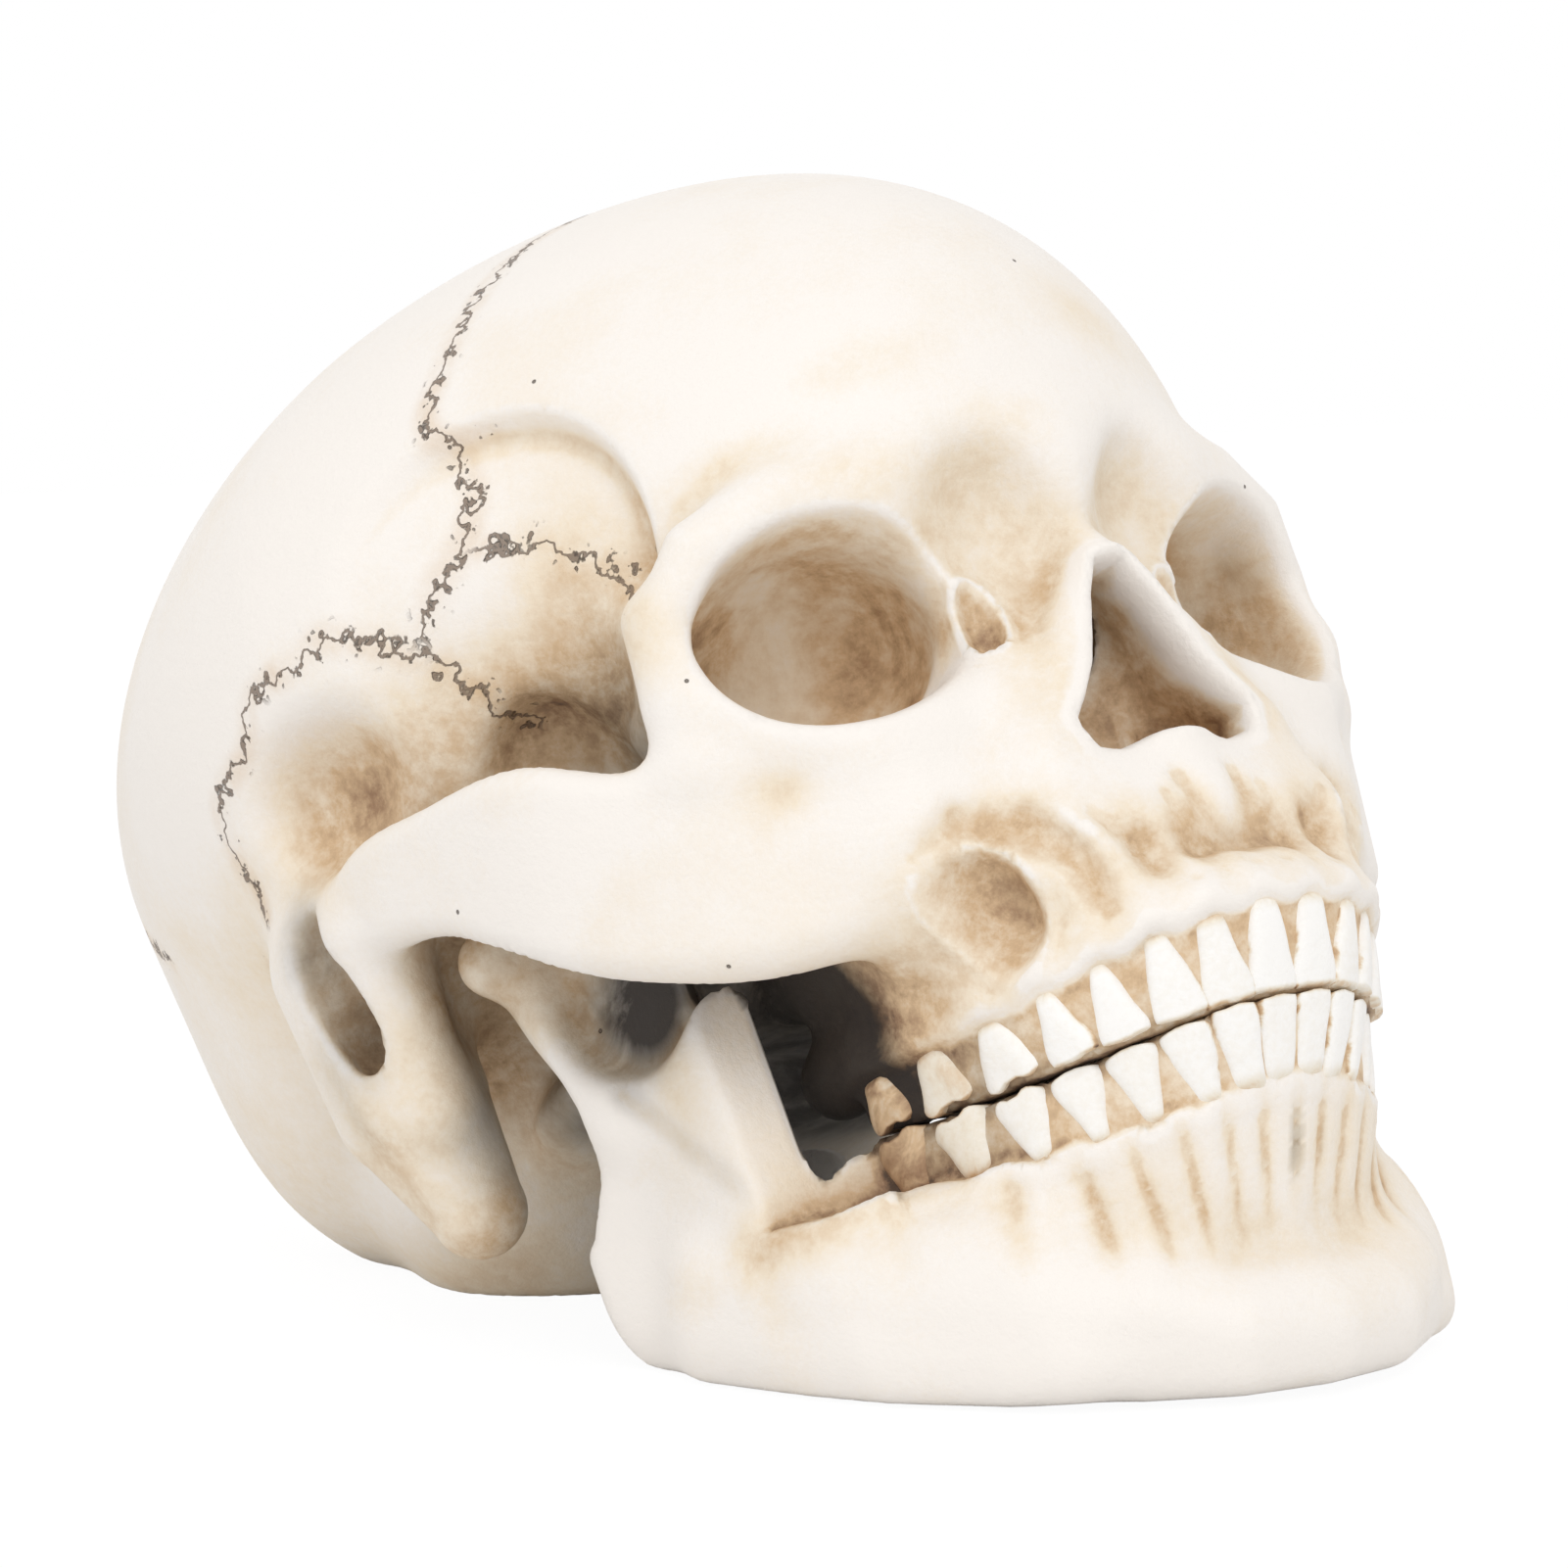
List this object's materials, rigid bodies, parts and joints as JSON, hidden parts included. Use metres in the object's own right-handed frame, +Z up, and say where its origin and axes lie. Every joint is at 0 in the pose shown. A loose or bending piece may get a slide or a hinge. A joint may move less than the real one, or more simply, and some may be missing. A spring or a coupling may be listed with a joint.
{
  "type": "skull decoration",
  "caption": "Life-size human skull ornament in cast resin, standing on its jaw and tipped back, with separate teeth and a lower jaw that swings open on two pins.",
  "frame": {"origin": "under the middle of the resting skull, on the surface it stands on", "axes": "+Z up, -Y the way the face looks, +X to the skull's left"},
  "size_m": [0.1408, 0.2296, 0.1528],
  "materials": {
    "bone": "satin cast resin with a brown wash",
    "tooth": "satin cast resin",
    "pin": "brushed"
  },
  "bodies": {
    "skull": {"cranium": "bone", "upper_right_central_incisor": "tooth", "upper_right_lateral_incisor": "tooth", "upper_right_canine": "tooth", "upper_right_first_premolar": "tooth", "upper_right_second_premolar": "tooth", "upper_right_first_molar": "tooth", "upper_right_second_molar": "tooth", "upper_right_third_molar": "tooth", "upper_left_central_incisor": "tooth", "upper_left_lateral_incisor": "tooth", "upper_left_canine": "tooth", "upper_left_first_premolar": "tooth", "upper_left_second_premolar": "tooth", "upper_left_first_molar": "tooth", "upper_left_second_molar": "tooth", "upper_left_third_molar": "tooth", "right_jaw_pin": "pin", "left_jaw_pin": "pin"},
    "jaw": {"mandible": "bone", "lower_right_central_incisor": "tooth", "lower_right_lateral_incisor": "tooth", "lower_right_canine": "tooth", "lower_right_first_premolar": "tooth", "lower_right_second_premolar": "tooth", "lower_right_first_molar": "tooth", "lower_right_second_molar": "tooth", "lower_right_third_molar": "tooth", "lower_left_central_incisor": "tooth", "lower_left_lateral_incisor": "tooth", "lower_left_canine": "tooth", "lower_left_first_premolar": "tooth", "lower_left_second_premolar": "tooth", "lower_left_first_molar": "tooth", "lower_left_second_molar": "tooth", "lower_left_third_molar": "tooth"}
  },
  "joints": [
    {"name": "jaw_hinge", "type": "hinge", "parent": "skull", "child": "jaw", "pos_m": [0, -0.00904, 0.05128], "axis": [1, 0, 0], "range_deg": [0, 25]}
  ]
}
